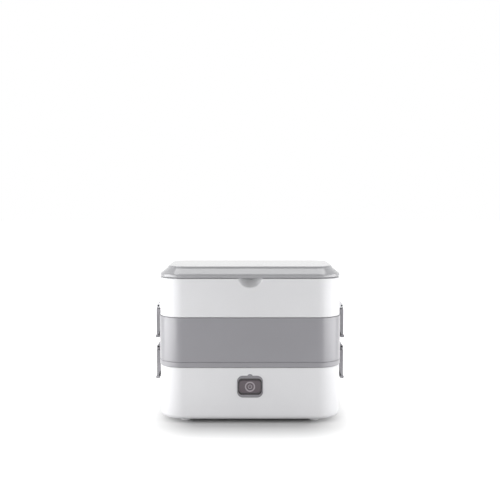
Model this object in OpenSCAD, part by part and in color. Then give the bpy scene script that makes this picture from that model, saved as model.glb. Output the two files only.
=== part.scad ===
// Electric lunch box: a heated base with a water pan, a steaming tier, and a cover
// whose top is a cutlery tray under a hinged lid. Four lidded bowls stand inside, two
// on the pan and two on the steam deck. Millimetres, front towards -Y, feet on z = 0.

/* [Body] */
// Width of the base and cover, left to right
body_w = 235; // [229:1:260]
// Depth of the base and cover, front to back
body_d = 125; // [121:1:150]
// Radius of the upright corners
corner_r = 32; // [26:1:44]
// Wall of the white shells
wall = 2.5; // [2:0.1:3]
// How far the grey tier stands proud of the white shells
tier_proud = 0.8; // [0.4:0.1:1.2]
// Rounding on the rims that meet at a seam
rim_r = 0.8; // [0.3:0.1:1.2]

/* [Heights] */
// Height of the rubber feet
foot_h = 5; // [3:0.5:7]
// Height of the base shell
base_h = 67.5; // [62:0.5:72]
// Height of the steaming tier
tier_h = 64.5; // [60:0.5:72]
// Height of the cover
cover_h = 50; // [44:1:60]
// Height of the hinged lid
lid_h = 14.7; // [13.5:0.1:20]
// Open seam between two stacked pieces
seam = 0.3; // [0.2:0.1:0.5]

/* [Joints between the tiers] */
// How far a spigot reaches into the piece below
spigot_h = 6; // [4:0.5:8]
// Wall of a spigot
spigot_t = 2; // [1.5:0.1:2.5]
// Gap between a spigot and the wall round it
spigot_gap = 0.4; // [0.3:0.1:0.6]
// Height of the seal ring round a spigot
seal_h = 2; // [1.5:0.1:2.5]

/* [Base] */
// Radius where the base turns under
base_turn_r = 6; // [4:0.5:8]
// Width of the rim that frames the bottom cover
base_flange = 10; // [9:0.5:12]
// Thickness of the bottom cover
bottom_t = 2.5; // [2.2:0.1:3]
// Thickness of the ledge that carries the pan
ledge_t = 2; // [1.5:0.1:3]
// Sheet of the steel pan
pan_t = 0.8; // [0.6:0.1:1.2]
// Depth of the water pan
pan_depth = 30.2; // [26:0.2:32]
// Room between a bowl and the pan wall
pan_gap = 1.2; // [1:0.1:2]
// Radius of a foot
foot_r = 6; // [4:0.5:8]
// Distance of a foot from the side of the box
foot_in_x = 33.5; // [31:0.5:45]
// Distance of a foot from the front or rear of the box
foot_in_y = 20.5; // [20:0.5:30]

/* [Tier and cover] */
// Thickness of the perforated steam deck
deck_t = 2.5; // [2:0.1:3]
// Height of the decorative groove above the foot of the tier
groove_z = 7.1; // [5:0.1:12]
// Depth of that groove
groove_d = 0.6; // [0.3:0.1:1]
// Thickness of the tray floor
ceiling_t = 2; // [1.5:0.1:3]
// Radius of the hollow for a finger under the lid
scoop_r = 22; // [18:1:26]
// How deep that hollow goes behind the front face
scoop_d = 8; // [6:0.5:9]
// Wall behind the hollow
scoop_t = 1.8; // [1.4:0.1:2.4]

/* [Lid] */
// Radius of the lid's lower edge, round its hinge line
lid_edge_r = 2.4; // [2.2:0.1:2.8]
// Width of the sloped band round the lid
lid_slope_w = 9.5; // [7:0.5:11]
// Thickness of the lid's top
lid_t = 2.2; // [1.8:0.1:3]
// Thickness of the lid's rim
lid_rim = 5; // [4.8:0.1:6]
// Room between a hinge pin and the start of the rounded corner
lid_pin_side = 7.5; // [2:0.5:20]
// Length of a hinge knuckle
lid_knuckle = 12; // [8:1:16]
// Radius of a hinge pin
lid_pin_r = 1; // [0.9:0.05:1.1]
// Length of a hinge pin
lid_pin_l = 28; // [24:1:32]

/* [Clips] */
// Width of a side clip, front to back
clip_w = 40; // [32:1:44]
// Distance of a clip's pin from the wall of the cover
clip_off = 4; // [3.8:0.1:4.4]
// Outer radius of a clip's knuckle
clip_knuckle_r = 2.6; // [2.4:0.1:2.8]
// Thickness of a clip's plate
clip_t = 2; // [1.8:0.1:2.2]
// Reach of a clip below its pin
clip_drop = 42.5; // [40:0.5:46]
// Height of the lower clip's pin above the seam it closes
lower_pin_z = 19.5; // [17:0.5:22]
// Height of the upper clip's pin above the seam it closes
upper_pin_z = 9.8; // [8:0.2:13]
// Drop from a pin to the tip of the lug that its clip hooks under
lug_drop = 27; // [26:0.5:30]
// Width of that lug, front to back
lug_w = 22; // [14:1:26]
// Slope of the hooked faces, from the horizontal
hook_slope = 60; // [58:1:64]
// Radius of a clip pin
clip_pin_r = 1.2; // [1:0.05:1.3]
// Thickness of an ear that holds a clip pin
ear_t = 3; // [2:0.5:4]

/* [Bowls] */
// Height of a bowl to its rim
bowl_h = 57; // [54:0.5:58]
// Sheet of a bowl
bowl_t = 0.8; // [0.6:0.1:1]
// Radius where a bowl turns under
bowl_turn_r = 12; // [8:1:16]
// How much wider the lid of a bowl is than its rim
bowl_lid_over = 6; // [5:0.5:6]
// Height of a bowl's lid above the rim
bowl_lid_h = 5; // [4.5:0.1:5.2]
// Gap between the lids of two bowls in a row
bowl_lid_gap = 2; // [1:0.1:3]
// Room between the lid of a bowl and the side of the tier
bowl_side_gap = 1.6; // [1:0.1:2]
// Room between the lid of a bowl and the front or rear of the tier
bowl_front_gap = 2.6; // [1.5:0.1:3]
// Room between a bowl and what it stands on
bowl_rest = 0.2; // [0.1:0.1:0.3]
// Room between the lid of a bowl and the floor above it
bowl_head = 2; // [1.5:0.1:3]

/* [Switch] */
// Width of the switch bezel
bezel_w = 33.3; // [30:0.1:36]
// Height of the switch bezel
bezel_h = 28.2; // [25:0.1:29]
// Corner radius of the bezel
bezel_r = 6; // [4:0.5:8]
// Height of the middle of the switch above the floor
switch_z = 48.2; // [45:0.1:49]
// How far the bezel stands proud of the base
bezel_proud = 0.7; // [0.3:0.1:0.8]
// Width of the power key
key_w = 28.2; // [24:0.1:29]
// Height of the power key
key_h = 16.4; // [12:0.1:18]
// Corner radius of the key
key_r = 5; // [3:0.5:6]
// Thickness of the key's plate
key_t = 2.6; // [2:0.1:2.8]
// Gap round the key
key_gap = 0.4; // [0.3:0.1:0.6]
// Width of the sunk border beside the key
border_w = 1.2; // [1:0.1:1.4]
// Height of the sunk border above and below the key
border_h = 2.4; // [1.5:0.1:3]
// Depth of the sunk border
border_d = 0.9; // [0.5:0.1:1.1]
// Travel of the key
key_travel = 1.5; // [1:0.1:1.6]
// Side of the key's square stem
stem_w = 5; // [4:0.5:6]

/* [Heater] */
// Length of the heater plate
heater_w = 110; // [90:5:120]
// Depth of the heater plate
heater_d = 60; // [50:2:70]
// Thickness of the heater plate
heater_t = 3; // [2:0.5:3.5]
// Length of the heating element
ptc_w = 70; // [50:5:80]
// Depth of the heating element
ptc_d = 24; // [20:1:28]
// Height of the heating element
ptc_h = 7; // [5:0.5:8]
// Width of the strap that clamps it
clamp_w = 20; // [14:1:26]
// Sheet of the strap
clamp_t = 1.5; // [1:0.1:2]

/* [Power inlet] */
// Distance of the middle of the inlet from the side of the box
inlet_in = 51.5; // [48:0.5:56]
// Height of the middle of the inlet
inlet_z = 20.5; // [19:0.5:23]
// Width of the inlet body
inlet_w = 22; // [20:0.5:24]
// Height of the inlet body
inlet_h = 13; // [11:0.5:14]
// Depth of the inlet body
inlet_d = 22; // [18:1:26]
// Radius of each lobe of the socket
socket_r = 4.15; // [4:0.05:4.3]
// Distance of each lobe from the middle of the socket
socket_off = 3.5; // [3.3:0.1:3.7]
// Depth of the socket
socket_d = 12; // [10:0.5:14]
// Radius of a contact pin
contact_r = 1.2; // [1.1:0.05:1.25]
// Distance of each contact pin from the middle of the socket
contact_off = 4.3; // [4:0.1:4.5]

/* [Hidden] */
$fn = 64;
bite = 0.5;             // how far a piece of one moulding runs into the next
running = 0.06;         // radial clearance of a hole that turns on a pin
held = 0.02;            // radial clearance of a hole that holds a pin still

// Stacking, from the floor up
z_tier = foot_h + base_h;
z_cover = z_tier + tier_h;
z_lid = z_cover + cover_h;

// Insides of the shells
in_w = body_w - 2*wall;
in_d = body_d - 2*wall;
in_r = corner_r - wall;
tier_w = body_w + 2*tier_proud;
tier_d = body_d + 2*tier_proud;
tier_r = corner_r + tier_proud;
tier_wall = wall + tier_proud;
front = -body_d/2;

// Spigots: inset of their inner face from the inner face of the wall round them
spigot_in = spigot_gap + spigot_t;
spigot_top = 2;
spigot_room = 1.2;
seal_t = 1;
seal_proud = 0.15;
seal_z = 2.5;
seal_play = 0.1;

// Switch, from the front face inwards
key_under = 0.2;
key_stop = 0.3;
stem_gap = 0.4;
stem_end = 1.1;
sleeve_gap = 0.3;
sleeve_in = 1.1;
sleeve_end = 0.6;
switch_size = 14;
switch_d = 5.2;
switch_back = 1.2;
board_t = 1.2;
board_gap = 1.2;
board_w = 50;
board_h = 22;
post_x = 21;
post_r = 2.5;
board_screw_r = 0.95;
board_screw_l = 3.5;
board_screw_head_r = 2;
board_screw_head_h = 0.6;
y_key = front - bezel_proud + key_under;
y_switch = y_key + key_t + key_travel + key_stop;
y_board = y_switch + switch_d + board_t;
stem_l = key_stop + switch_d - switch_back - stem_end;

// Bowls, as wide as the tier and the switch let them be
bowl_r = min(
    (in_w - 2*spigot_in - 2*bowl_side_gap - bowl_lid_gap)/4 - bowl_lid_over,
    in_d/2 - spigot_in - bowl_front_gap - bowl_lid_over,
    -y_board - board_gap - pan_t - pan_gap);
bowl_lid_r = bowl_r + bowl_lid_over;
bowl_x = in_w/2 - spigot_in - bowl_side_gap - bowl_lid_r;
plug_in = 3.5;
plug_h = 5;
plug_r = bowl_r - plug_in;

// Pan, hung by its flange from the ledge of the base
z_ledge = z_tier + seam - spigot_h - spigot_room - pan_t;
z_pan = z_ledge + pan_t - pan_depth;
pan_r = bowl_r + pan_gap + pan_t;
pan_hole_gap = 0.5;
flange_gap = 0.5;
pan_turn_r = 5;

// Bowls' heights and the floors above them
bowl_top = bowl_h + bowl_lid_h;
z_bowl_low = z_pan + bowl_rest;
z_deck = z_bowl_low + bowl_top + bowl_head;
z_bowl_up = z_deck + deck_t + bowl_rest;
z_ceiling = z_bowl_up + bowl_top + bowl_head;
deck_gap = 0.4;
deck_lip = 3;
deck_lip_t = 1;
deck_hole_r = 4;
deck_ring_r = bowl_r - 19;
deck_hole_y = in_d/2 - 18;

// Lid hinge line, round which the lid's lower rear edge is rounded
hinge_y = body_d/2 - lid_edge_r;
hinge_z = z_lid + seam + lid_edge_r;
lid_hinge_x = body_w/2 - corner_r - lid_pin_side - lid_pin_l/2;
knuckle_gap = 0.4;
hinge_root = 10;
slot_top = 6.2;

// Clips
pin_x = body_w/2 + clip_off;
lug_tip = pin_x - 0.4;
hook_gap = 0.35;
hook_reach = 2.4;
clip_gap = 0.4;
cheek_t = 2;
cheek_top = 4.2;
cheek_in = 2.2;
flare = 1.8;
flare_h = 6.5;

// Bottom screws, bosses and feet
boss_r = 3.5;
boss_in_x = 21.5;
boss_in_y = 21.5;
boss_x = body_w/2 - boss_in_x;
boss_y = body_d/2 - boss_in_y;
screw_r = 1.45;
screw_l = 9;
screw_head_r = 3;
screw_head_h = 1.5;
peg_r = 2;
foot_x = body_w/2 - foot_in_x;
foot_y = body_d/2 - foot_in_y;
bottom_gap = 0.3;
vent_l = 26;
z_floor = foot_h + bottom_t;

// Pieces under the pan
z_under = z_pan - pan_t;
thermostat_r = 8.2;
thermostat_h = 6.5;
thermostat_x = -heater_w/2 - 12.8 - thermostat_r;
tab_l = 6;
tab_off = 4;
fuse_r = 2;
fuse_l = 30;
fuse_gap = 7;
fuse_x = heater_w/2 + fuse_gap + fuse_r;
clamp_foot = 9;
clamp_y = ptc_d/2 + clamp_t + clamp_foot/2;
clamp_screw_r = 1.45;
clamp_screw_end = 1.5;
clamp_head_r = 2.6;
clamp_head_h = 1.6;
inlet_x = body_w/2 - inlet_in;
pin_tail = 4.5;
y_pins = body_d/2 - inlet_d - pin_tail;
block_x = inlet_x - 26;
block_y = y_pins - 14;
block_w = 24;
block_d = 16;
block_h = 12;
lead_r = 1.3;
lead_z = 5;
lead_off = 4;
lead_front_x = 8;

// ---- Shared shapes ----

// Points of an arc, for an outline
function arc(cx, cy, r, a0, a1, n = 6) =
    [for (i = [0:n]) let (a = a0 + (a1 - a0)*i/n) [cx + r*cos(a), cy + r*sin(a)]];

// Carries a wall section round a rounded rectangle: the section's x runs inwards
// from the outer face and its y is the height.
module around(w, d, r) {
    for (sx = [0, 1], sy = [0, 1])
        mirror([sx, 0, 0])
            mirror([0, sy, 0])
                translate([w/2 - r, d/2 - r, 0])
                    rotate_extrude(angle = 90)
                        translate([r, 0])
                            mirror([1, 0])
                                children();
    for (sy = [0, 1])
        mirror([0, sy, 0])
            translate([-(w/2 - r), d/2, 0])
                rotate([90, 0, 90])
                    linear_extrude(w - 2*r)
                        mirror([1, 0])
                            children();
    for (sx = [0, 1])
        mirror([sx, 0, 0])
            translate([w/2, d/2 - r, 0])
                rotate([90, 0, 0])
                    linear_extrude(d - 2*r)
                        mirror([1, 0])
                            children();
}

// A flat plate with round corners, standing on z = 0
module plate(w, d, r, h) {
    translate([-w/2 + r, -d/2, 0])
        cube([w - 2*r, d, h]);
    translate([-w/2, -d/2 + r, 0])
        cube([w, d - 2*r, h]);
    for (x = [-1, 1], y = [-1, 1])
        translate([x*(w/2 - r), y*(d/2 - r), 0])
            cylinder(r = r, h = h);
}

// The same plate standing upright, facing the front, its front face on y = 0
module front_plate(w, h, r, t) {
    translate([0, t, 0])
        rotate([90, 0, 0])
            plate(w, h, r, t);
}

// A slab with two round ends, as long as a row of two bowls
module bowl_row(r, h) {
    translate([-bowl_x, -r, 0])
        cube([2*bowl_x, 2*r, h]);
    for (x = [-bowl_x, bowl_x])
        translate([x, 0, 0])
            cylinder(r = r, h = h);
}

// A prism with an outline in x and z, centred on y = 0
module side_prism(points, w) {
    rotate([90, 0, 0])
        linear_extrude(w, center = true)
            polygon(points);
}

// A rod along y between two depths
module rod_y(x, z, y0, y1, r) {
    translate([x, y1, z])
        rotate([90, 0, 0])
            cylinder(r = r, h = y1 - y0);
}

// A rod from one point to another
module rod(a, b, r) {
    v = b - a;
    translate(a)
        rotate([0, acos(v[2]/norm(v)), atan2(v[1], v[0])])
            cylinder(r = r, h = norm(v), $fn = 16);
}

// An insulated lead along a list of points, with round bends
module lead(points, r) {
    for (i = [0:len(points) - 2])
        rod(points[i], points[i + 1], r);
    for (i = [1:len(points) - 2])
        translate(points[i])
            sphere(r = 1.08*r, $fn = 16);
}

// Both sides of the box: the children are drawn on the right
module on_both_sides() {
    children();
    mirror([1, 0, 0])
        children();
}

// ---- Base ----

module base_section() {
    polygon(concat(
        arc(base_turn_r, foot_h + base_turn_r, base_turn_r, -90, -180),
        [[0, z_tier - rim_r], [rim_r, z_tier], [wall, z_tier]],
        arc(base_turn_r, foot_h + base_turn_r, base_turn_r - wall, -180, -90),
        [[base_flange, foot_h + wall], [base_flange, foot_h]]));
}

// Triangular lug that a clip hooks under
module clip_lug(wall_x, pin_z) {
    tip_z = pin_z - lug_drop;
    low_z = tip_z - (lug_tip - wall_x)*tan(hook_slope);
    side_prism([[wall_x - bite, low_z], [wall_x, low_z], [lug_tip, tip_z],
        [lug_tip, tip_z + 0.8], [wall_x, tip_z + 3], [wall_x - bite, tip_z + 3]], lug_w);
}

module base_shell() color("whitesmoke")
difference() {
    union() {
        around(body_w, body_d, corner_r)
            base_section();
        difference() {
            translate([0, 0, z_ledge - ledge_t])
                plate(in_w + bite, in_d + bite, in_r + bite/2, ledge_t);
            translate([0, 0, z_ledge - ledge_t - 1])
                bowl_row(pan_r + pan_hole_gap, ledge_t + 2);
        }
        for (x = [-boss_x, boss_x], y = [-boss_y, boss_y])
            translate([x, y, z_floor])
                cylinder(r = boss_r, h = z_ledge - ledge_t/2 - z_floor);
        for (x = [-post_x, post_x])
            rod_y(x, switch_z, front + wall - bite, y_board - board_t, post_r);
        on_both_sides()
            clip_lug(body_w/2, z_tier + lower_pin_z);
    }
    for (x = [-boss_x, boss_x], y = [-boss_y, boss_y])
        translate([x, y, z_floor - 1])
            cylinder(r = screw_r + 0.05, h = screw_l + 3);
    for (x = [-post_x, post_x])
        rod_y(x, switch_z, y_board - board_t - board_screw_l - 0.5, y_board, board_screw_r + 0.05);
    translate([0, front - 1, switch_z])
        front_plate(bezel_w - 2*sleeve_in + 2*sleeve_gap, bezel_h - 2*sleeve_in + 2*sleeve_gap,
            bezel_r - sleeve_in + sleeve_gap, wall + 2);
    translate([0, front - 1, 0])
        lens_shape(1 + 1.5, 0.1);
    translate([inlet_x - inlet_w/2 - sleeve_gap, body_d/2 - wall - 1, inlet_z - inlet_h/2 - sleeve_gap])
        cube([inlet_w + 2*sleeve_gap, wall + 2, inlet_h + 2*sleeve_gap]);
}

module bottom_cover() color("gainsboro")
difference() {
    edge = base_flange + bottom_gap;
    translate([0, 0, foot_h])
        plate(body_w - 2*edge, body_d - 2*edge, corner_r - edge, bottom_t);
    for (x = [-boss_x, boss_x], y = [-boss_y, boss_y])
        translate([x, y, foot_h]) {
            translate([0, 0, -1])
                cylinder(r = screw_r + 0.15, h = bottom_t + 2);
            translate([0, 0, -1])
                cylinder(r = screw_head_r + 0.2, h = screw_head_h + 1);
        }
    for (x = [-foot_x, foot_x], y = [-foot_y, foot_y])
        translate([x, y, foot_h - 1])
            cylinder(r = peg_r + 0.05, h = bottom_t + 2);
    for (i = [-3:3])
        translate([i*8 - 1.5, -4 - vent_l, foot_h - 1])
            cube([3, vent_l, bottom_t + 2]);
}

module foot(x, y) color("white")
translate([x, y, 0]) {
    rotate_extrude()
        polygon([[0, 0], [foot_r - 0.6, 0], [foot_r, 0.6], [foot_r, foot_h], [0, foot_h]]);
    cylinder(r = peg_r, h = z_floor - 0.2);
}

module water_pan() color("silver")
difference() {
    floor_z = z_pan - pan_t;
    outline = concat(
        [[0, floor_z]],
        arc(pan_r - pan_turn_r, floor_z + pan_turn_r, pan_turn_r, -90, 0, 4),
        [[pan_r, z_ledge + pan_t], [0, z_ledge + pan_t]]);
    hollow = concat(
        [[0, z_pan]],
        arc(pan_r - pan_turn_r, z_pan + pan_turn_r - pan_t, pan_turn_r - pan_t, -90, 0, 4),
        [[pan_r - pan_t, z_ledge + 2*pan_t], [0, z_ledge + 2*pan_t]]);
    union() {
        pan_form(outline);
        translate([0, 0, z_ledge])
            plate(in_w - 2*flange_gap, in_d - 2*flange_gap, in_r - flange_gap, pan_t);
    }
    pan_form(hollow);
}

// A pan's half section, turned at both ends and drawn straight between them
module pan_form(half) {
    for (x = [-bowl_x, bowl_x])
        translate([x, 0, 0])
            rotate_extrude()
                polygon(half);
    for (s = [0, 1])
        mirror([0, s, 0])
            translate([-bowl_x, 0, 0])
                rotate([90, 0, 90])
                    linear_extrude(2*bowl_x)
                        polygon(half);
}

module heater_plate() color("lightgray")
difference() {
    translate([-heater_w/2, -heater_d/2, z_under - heater_t])
        cube([heater_w, heater_d, heater_t]);
    for (y = [-1, 1])
        translate([0, y*clamp_y, z_under - heater_t - 1])
            cylinder(r = clamp_screw_r + 0.05, h = heater_t);
}

module ptc_element() color("dimgray")
translate([-ptc_w/2, -ptc_d/2, z_under - heater_t - ptc_h])
    cube([ptc_w, ptc_d, ptc_h]);

module heater_clamp() color("silver")
difference() {
    top = z_under - heater_t;
    low = top - ptc_h;
    side = ptc_d/2 + clamp_t + clamp_foot;
    union() {
        translate([-clamp_w/2, -ptc_d/2 - clamp_t, low - clamp_t])
            cube([clamp_w, ptc_d + 2*clamp_t, clamp_t]);
        for (s = [0, 1])
            mirror([0, s, 0]) {
                translate([-clamp_w/2, ptc_d/2, low - clamp_t])
                    cube([clamp_w, clamp_t, ptc_h + clamp_t]);
                translate([-clamp_w/2, ptc_d/2, top - clamp_t])
                    cube([clamp_w, side - ptc_d/2, clamp_t]);
            }
    }
    for (y = [-1, 1])
        translate([0, y*clamp_y, top - clamp_t - 1])
            cylinder(r = clamp_screw_r + 0.15, h = clamp_t + 2);
}

module clamp_screws() color("gray")
for (y = [-1, 1])
    translate([0, y*clamp_y, z_under - heater_t - clamp_t]) {
        translate([0, 0, -clamp_head_h])
            cylinder(r = clamp_head_r, h = clamp_head_h);
        cylinder(r = clamp_screw_r, h = clamp_t + heater_t - clamp_screw_end);
    }

module thermostat() color("tan")
translate([thermostat_x, 0, z_under - thermostat_h]) {
    cylinder(r = thermostat_r, h = thermostat_h);
    for (y = [-tab_off, tab_off])
        translate([-0.4, y - 2.4, -tab_l])
            cube([0.8, 4.8, tab_l + bite]);
}

module thermal_fuse() color("ivory")
rod_y(fuse_x, z_under - fuse_r - 0.2, -fuse_l/2, fuse_l/2, fuse_r);

module terminal_block() color("ivory")
difference() {
    translate([block_x - block_w/2, block_y - block_d/2, z_floor])
        cube([block_w, block_d, block_h]);
    for (i = [-1:1])
        translate([block_x + i*7.5, block_y, z_floor + lead_z])
            cylinder(r = 2, h = block_h);
}

module inlet_socket() color("#2a2a2a")
difference() {
    y0 = body_d/2 - inlet_d;
    union() {
        translate([inlet_x - inlet_w/2, y0, inlet_z - inlet_h/2])
            cube([inlet_w, inlet_d, inlet_h]);
        translate([inlet_x, body_d/2, inlet_z])
            front_plate(inlet_w + 4, inlet_h + 4, 3, tier_proud);
    }
    for (x = [-socket_off, socket_off])
        rod_y(inlet_x + x, inlet_z, body_d/2 - socket_d, body_d/2 + 2, socket_r);
    translate([inlet_x - socket_off, body_d/2 - socket_d, inlet_z - socket_r])
        cube([2*socket_off, socket_d + 2, 2*socket_r]);
    for (x = [-contact_off, contact_off])
        rod_y(inlet_x + x, inlet_z, y0 - 1, body_d/2, contact_r + held);
}

module inlet_pins() color("gold")
for (x = [-contact_off, contact_off])
    rod_y(inlet_x + x, inlet_z, y_pins, body_d/2 - 2.5, contact_r);

// The moon-shaped window of the indicator, just above the bezel
module lens_shape(t, grow) {
    bezel_top = switch_z + bezel_h/2;
    intersection() {
        rod_y(0, bezel_top - 1.8, 0, t, 3.9 + grow);
        translate([-10, -1, bezel_top + 0.2 - grow])
            cube([20, t + 2, 10]);
    }
}

module indicator_lens() color("#4a4a50")
translate([0, front - 0.4, 0])
    lens_shape(1.7, 0);

module switch_bezel() color("#7a787c")
difference() {
    union() {
        translate([0, front - bezel_proud, switch_z])
            front_plate(bezel_w, bezel_h, bezel_r, bezel_proud);
        translate([0, front - bite, switch_z])
            front_plate(bezel_w - 2*sleeve_in, bezel_h - 2*sleeve_in,
                bezel_r - sleeve_in, wall + bite + sleeve_end);
    }
    translate([0, front - 2, switch_z])
        front_plate(key_w + 2*key_gap, key_h + 2*key_gap, key_r + key_gap, wall + 4);
    translate([0, front - 2, switch_z])
        front_plate(key_w + 2*border_w, key_h + 2*border_h, key_r, 2 - bezel_proud + border_d);
}

module power_key() color("#4b4649") {
    translate([0, y_key, switch_z])
        front_plate(key_w, key_h, key_r, key_t);
    translate([-stem_w/2, y_key + key_t - bite, switch_z - stem_w/2])
        cube([stem_w, stem_l + bite, stem_w]);
}

module switch_body() color("#303030")
difference() {
    hole = stem_w + 2*stem_gap;
    translate([-switch_size/2, y_switch, switch_z - switch_size/2])
        cube([switch_size, switch_d, switch_size]);
    translate([-hole/2, y_switch - 1, switch_z - hole/2])
        cube([hole, switch_d - switch_back + 1, hole]);
}

module switch_board() color("seagreen")
difference() {
    translate([-board_w/2, y_board - board_t, switch_z - board_h/2])
        cube([board_w, board_t, board_h]);
    for (x = [-post_x, post_x])
        rod_y(x, switch_z, y_board - board_t - 1, y_board + 1, board_screw_r + 0.2);
}

module board_screws() color("gray")
for (x = [-post_x, post_x]) {
    rod_y(x, switch_z, y_board, y_board + board_screw_head_h, board_screw_head_r);
    rod_y(x, switch_z, y_board - board_t - board_screw_l, y_board + 0.1, board_screw_r);
}

module wiring() color("firebrick") {
    low = z_floor + lead_z;
    side = block_x + block_w/2;
    for (s = [-1, 1]) {
        px = inlet_x + s*contact_off;
        by = block_y - s*lead_off;
        lead([[px, y_pins, inlet_z], [px, by, inlet_z], [px, by, low], [side, by, low]], lead_r);
    }
    far = block_x - block_w/2;
    near_y = block_y - lead_off;
    front_y = y_board - board_t/2;
    lead([[far, near_y, low], [lead_front_x, near_y, low], [lead_front_x, front_y, low],
        [lead_front_x, front_y, switch_z - board_h/2]], lead_r);
    far_y = block_y + lead_off;
    lead([[far, far_y, low], [thermostat_x, far_y, low], [thermostat_x, tab_off, low],
        [thermostat_x, tab_off, z_under - thermostat_h - tab_l]], lead_r);
}

module base_screws() color("gray")
for (x = [-boss_x, boss_x], y = [-boss_y, boss_y])
    translate([x, y, foot_h]) {
        translate([0, 0, 0.1])
            cylinder(r = screw_head_r, h = screw_head_h - 0.1);
        translate([0, 0, screw_head_h - 0.1])
            cylinder(r = screw_r, h = bottom_t + screw_l - screw_head_h);
    }

// ---- Steaming tier ----

module tier_section() {
    z0 = z_tier + seam;
    sp = tier_wall + spigot_gap;
    st = sp + spigot_t;
    polygon(concat(
        [[rim_r, z0], [0, z0 + rim_r]],
        [[0, z_tier + groove_z - groove_d], [groove_d, z_tier + groove_z],
            [0, z_tier + groove_z + groove_d]],
        [[0, z_cover - rim_r], [rim_r, z_cover], [tier_wall, z_cover]],
        [[tier_wall, z_deck], [tier_wall + deck_lip, z_deck],
            [tier_wall + deck_lip, z_deck - deck_lip_t],
            [tier_wall, z_deck - deck_lip_t - deck_lip]],
        [[tier_wall, z0 + spigot_top + spigot_in], [st, z0 + spigot_top], [st, z0 - spigot_h]],
        [[sp, z0 - spigot_h]],
        seal_groove(sp, z0),
        [[sp, z0]]));
}

// Groove round a spigot that keeps the seal ring in place
function seal_groove(face, z0) = [
    [face, z0 - seal_z - seal_h - seal_play],
    [face + seal_t, z0 - seal_z - seal_h - seal_play],
    [face + seal_t, z0 - seal_z + seal_play],
    [face, z0 - seal_z + seal_play]
];

// Seal ring in the groove of a spigot, in the section of its shell
module seal_section(face, z0) {
    translate([face - seal_proud, z0 - seal_z - seal_h])
        square([seal_t + seal_proud - 0.05, seal_h]);
}

// Ear that holds the end of a clip pin, with a gusset up the wall
module clip_ears(wall_x, pin_z) {
    reach = pin_x - wall_x;
    r = clip_knuckle_r;
    for (s = [-1, 1])
        translate([pin_x, s*(clip_w/2 - ear_t/2), pin_z]) {
            side_prism([[-reach - bite, reach + 2.6], [-reach, reach + 2.6], [1, 2.35],
                [1, -2.35], [0, -r], [-reach - bite, -r]], ear_t);
            rotate([90, 0, 0])
                cylinder(r = r, h = ear_t, center = true);
        }
}

module clip_pin_holes(pin_z) {
    rod_y(pin_x, pin_z, -clip_w/2 - 1, clip_w/2 + 1, clip_pin_r + held);
}

module tier_shell() color("#8e8d92")
difference() {
    union() {
        around(tier_w, tier_d, tier_r)
            tier_section();
        on_both_sides() {
            clip_lug(tier_w/2, z_cover + upper_pin_z);
            clip_ears(tier_w/2, z_tier + lower_pin_z);
        }
    }
    on_both_sides()
        clip_pin_holes(z_tier + lower_pin_z);
}

module steam_deck() color("#a3a2a6")
difference() {
    translate([0, 0, z_deck])
        plate(in_w - 2*deck_gap, in_d - 2*deck_gap, in_r - deck_gap, deck_t);
    for (x = [-bowl_x, bowl_x], i = [0:7])
        translate([x + deck_ring_r*cos(i*45), deck_ring_r*sin(i*45), z_deck - 1])
            cylinder(r = deck_hole_r, h = deck_t + 2);
    for (y = [-deck_hole_y, 0, deck_hole_y])
        translate([0, y, z_deck - 1])
            cylinder(r = deck_hole_r, h = deck_t + 2);
}

module tier_seal() color("gainsboro")
around(tier_w, tier_d, tier_r)
    seal_section(tier_wall + spigot_gap, z_tier + seam);

// ---- Clips ----

module clip_pin(side, pin_z) color("silver")
mirror([side < 0 ? 1 : 0, 0, 0])
    rod_y(pin_x, pin_z, -clip_w/2, clip_w/2, clip_pin_r);

module clip(side, pin_z) color("#98979b")
mirror([side < 0 ? 1 : 0, 0, 0])
    translate([pin_x, 0, pin_z])
        difference() {
            r = clip_knuckle_r;
            inner = r - clip_t;
            knuckle_l = clip_w - 2*ear_t - 2*clip_gap;
            // the hooked face runs parallel to the underside of the lug
            drop = lug_drop + hook_gap/cos(hook_slope);
            tip_x = lug_tip - pin_x;
            face = function(x) -drop + (x - tip_x)*tan(hook_slope);
            bend = -clip_drop + flare_h;
            union() {
                rotate([90, 0, 0])
                    cylinder(r = r, h = knuckle_l, center = true);
                side_prism([[inner, 0], [r, 0], [r, -cheek_top - 1], [inner, -cheek_top - 1]],
                    knuckle_l);
                side_prism([[inner, -cheek_top], [r, -cheek_top], [r, bend],
                    [r + flare, -clip_drop], [r + flare - clip_t, -clip_drop], [inner, bend]],
                    clip_w);
                for (s = [-1, 1])
                    translate([0, s*(clip_w/2 - cheek_t/2), 0])
                        side_prism([[-cheek_in, -cheek_top], [inner + bite, -cheek_top],
                            [inner + bite, bend], [inner, bend], [-cheek_in, bend + 5]],
                            cheek_t);
                side_prism([[inner + bite, face(inner + bite)], [-hook_reach, face(-hook_reach)],
                    [-hook_reach, face(-hook_reach) - 1], [inner + bite, face(-hook_reach) - 4]],
                    lug_w + 2);
            }
            rotate([90, 0, 0])
                cylinder(r = clip_pin_r + running, h = clip_w, center = true);
        }

// ---- Cover ----

module cover_section() {
    z0 = z_cover + seam;
    sp = wall + spigot_gap;
    st = sp + spigot_t;
    polygon(concat(
        [[rim_r, z0], [0, z0 + rim_r], [0, z_lid - rim_r], [rim_r, z_lid], [wall, z_lid]],
        [[wall, z0 + spigot_top + spigot_in], [st, z0 + spigot_top]],
        [[st, z0 - spigot_h], [sp, z0 - spigot_h]],
        seal_groove(sp, z0),
        [[sp, z0]]));
}

// Ball whose near side hollows the front wall for a finger
module scoop_ball(r) {
    translate([0, front + scoop_d - scoop_r, z_lid + 5.5])
        sphere(r = r);
}

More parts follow.
